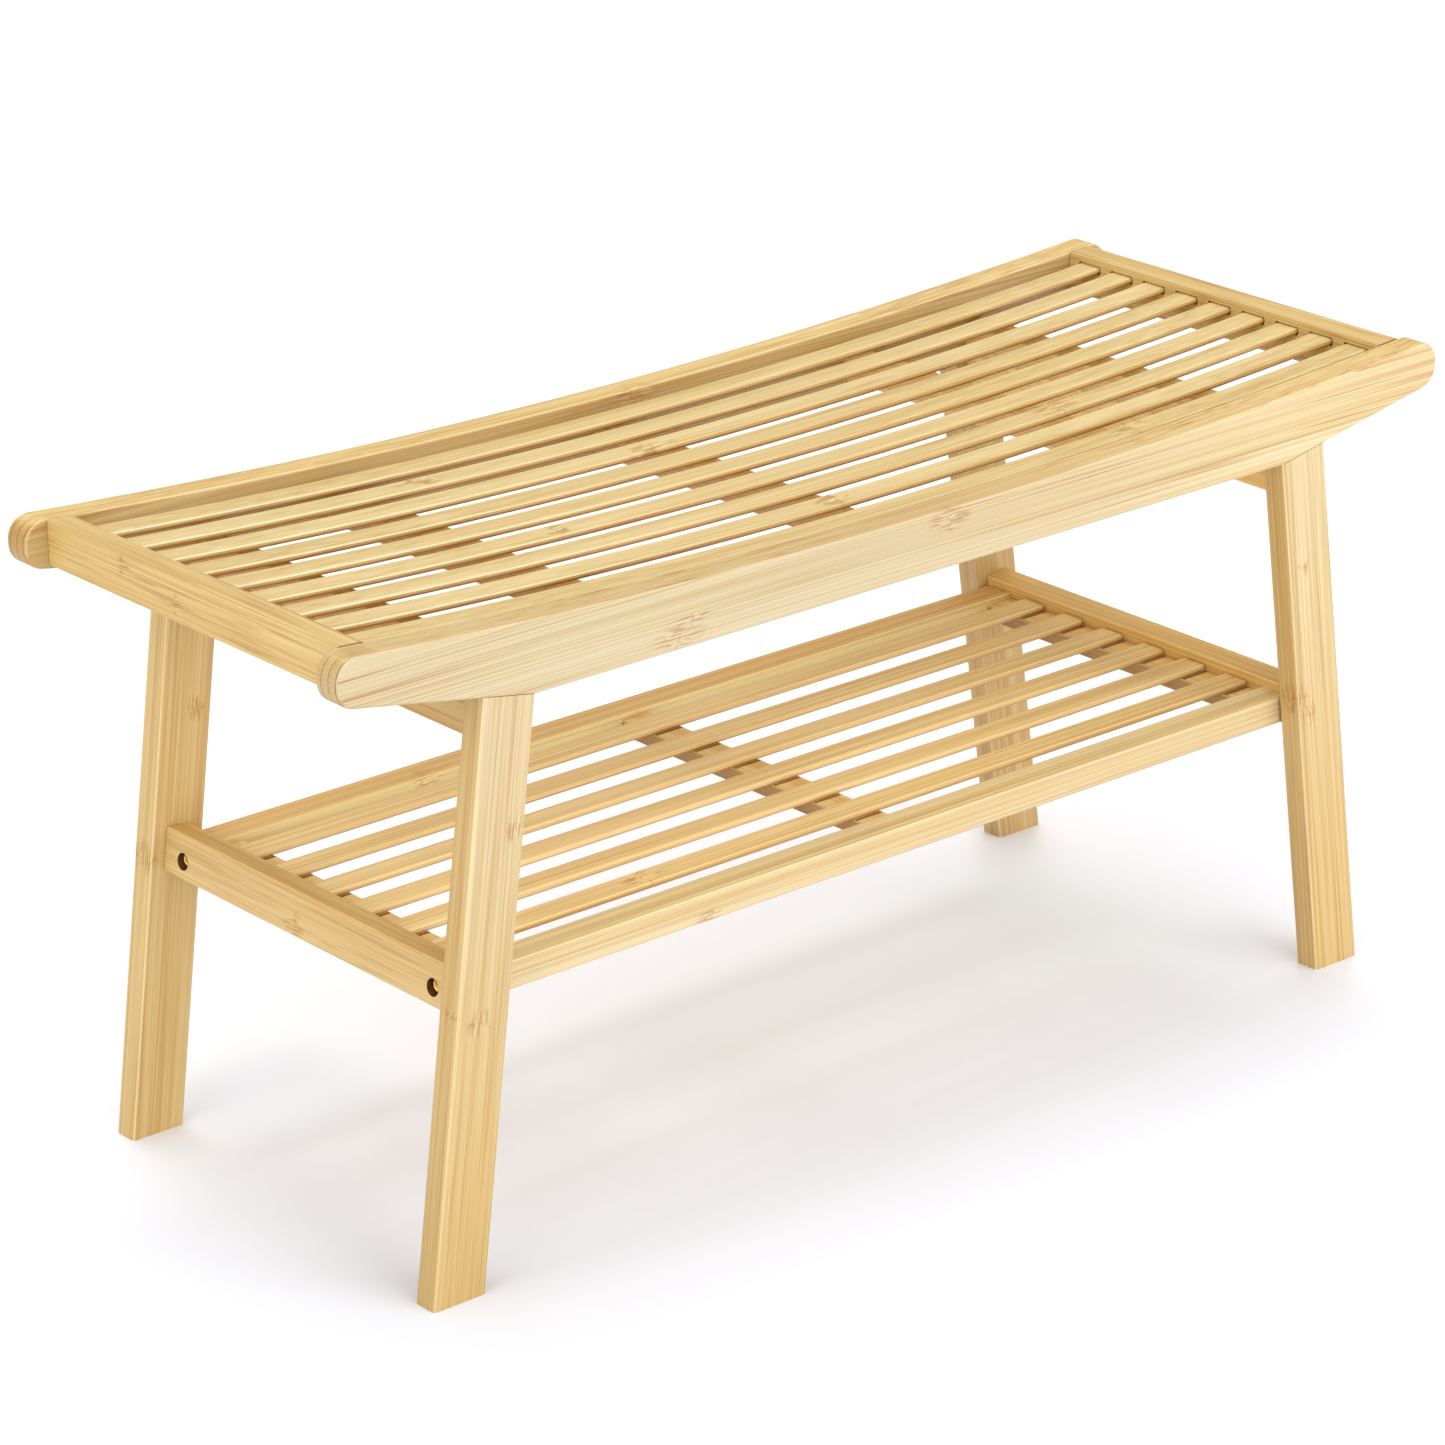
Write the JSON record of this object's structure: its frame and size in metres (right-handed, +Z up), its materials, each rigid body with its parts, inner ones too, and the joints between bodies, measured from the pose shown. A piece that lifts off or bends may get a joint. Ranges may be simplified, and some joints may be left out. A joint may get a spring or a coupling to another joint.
{
  "type": "entryway bench",
  "caption": "Slatted bamboo entryway bench with a dished seat, splayed legs and a slatted shoe shelf below.",
  "frame": {"origin": "on the floor, below the middle of the seat", "axes": "+X along the bench to the sitter's left, -Y to the front, +Z up"},
  "size_m": [0.975, 0.359, 0.4611],
  "materials": {
    "bamboo": "laminated bamboo strips under clear satin lacquer",
    "screw": "zinc plating",
    "bolt": "yellow zinc plating",
    "insert": "plain zinc"
  },
  "bodies": {
    "root": {"back_left_leg": "bamboo", "back_right_leg": "bamboo", "back_shelf_beam": "bamboo", "back_side_rail": "bamboo", "front_left_leg": "bamboo", "front_right_leg": "bamboo", "front_shelf_beam": "bamboo", "front_side_rail": "bamboo", "left_cross_rail": "bamboo", "left_end_rail": "bamboo", "left_fixing_batten": "bamboo", "left_seat_batten": "bamboo", "left_shelf_batten": "bamboo", "left_shelf_rail": "bamboo", "middle_seat_batten": "bamboo", "middle_shelf_batten": "bamboo", "right_cross_rail": "bamboo", "right_end_rail": "bamboo", "right_fixing_batten": "bamboo", "right_seat_batten": "bamboo", "right_shelf_batten": "bamboo", "right_shelf_rail": "bamboo", "seat_screws": "screw", "seat_slat_1": "bamboo", "seat_slat_2": "bamboo", "seat_slat_3": "bamboo", "seat_slat_4": "bamboo", "seat_slat_5": "bamboo", "seat_slat_6": "bamboo", "seat_slat_7": "bamboo", "seat_slat_8": "bamboo", "seat_slat_9": "bamboo", "shelf_bolts": "bolt", "shelf_inserts": "insert", "shelf_slat_1": "bamboo", "shelf_slat_2": "bamboo", "shelf_slat_3": "bamboo", "shelf_slat_4": "bamboo", "shelf_slat_5": "bamboo", "shelf_slat_6": "bamboo"}
  },
  "joints": []
}
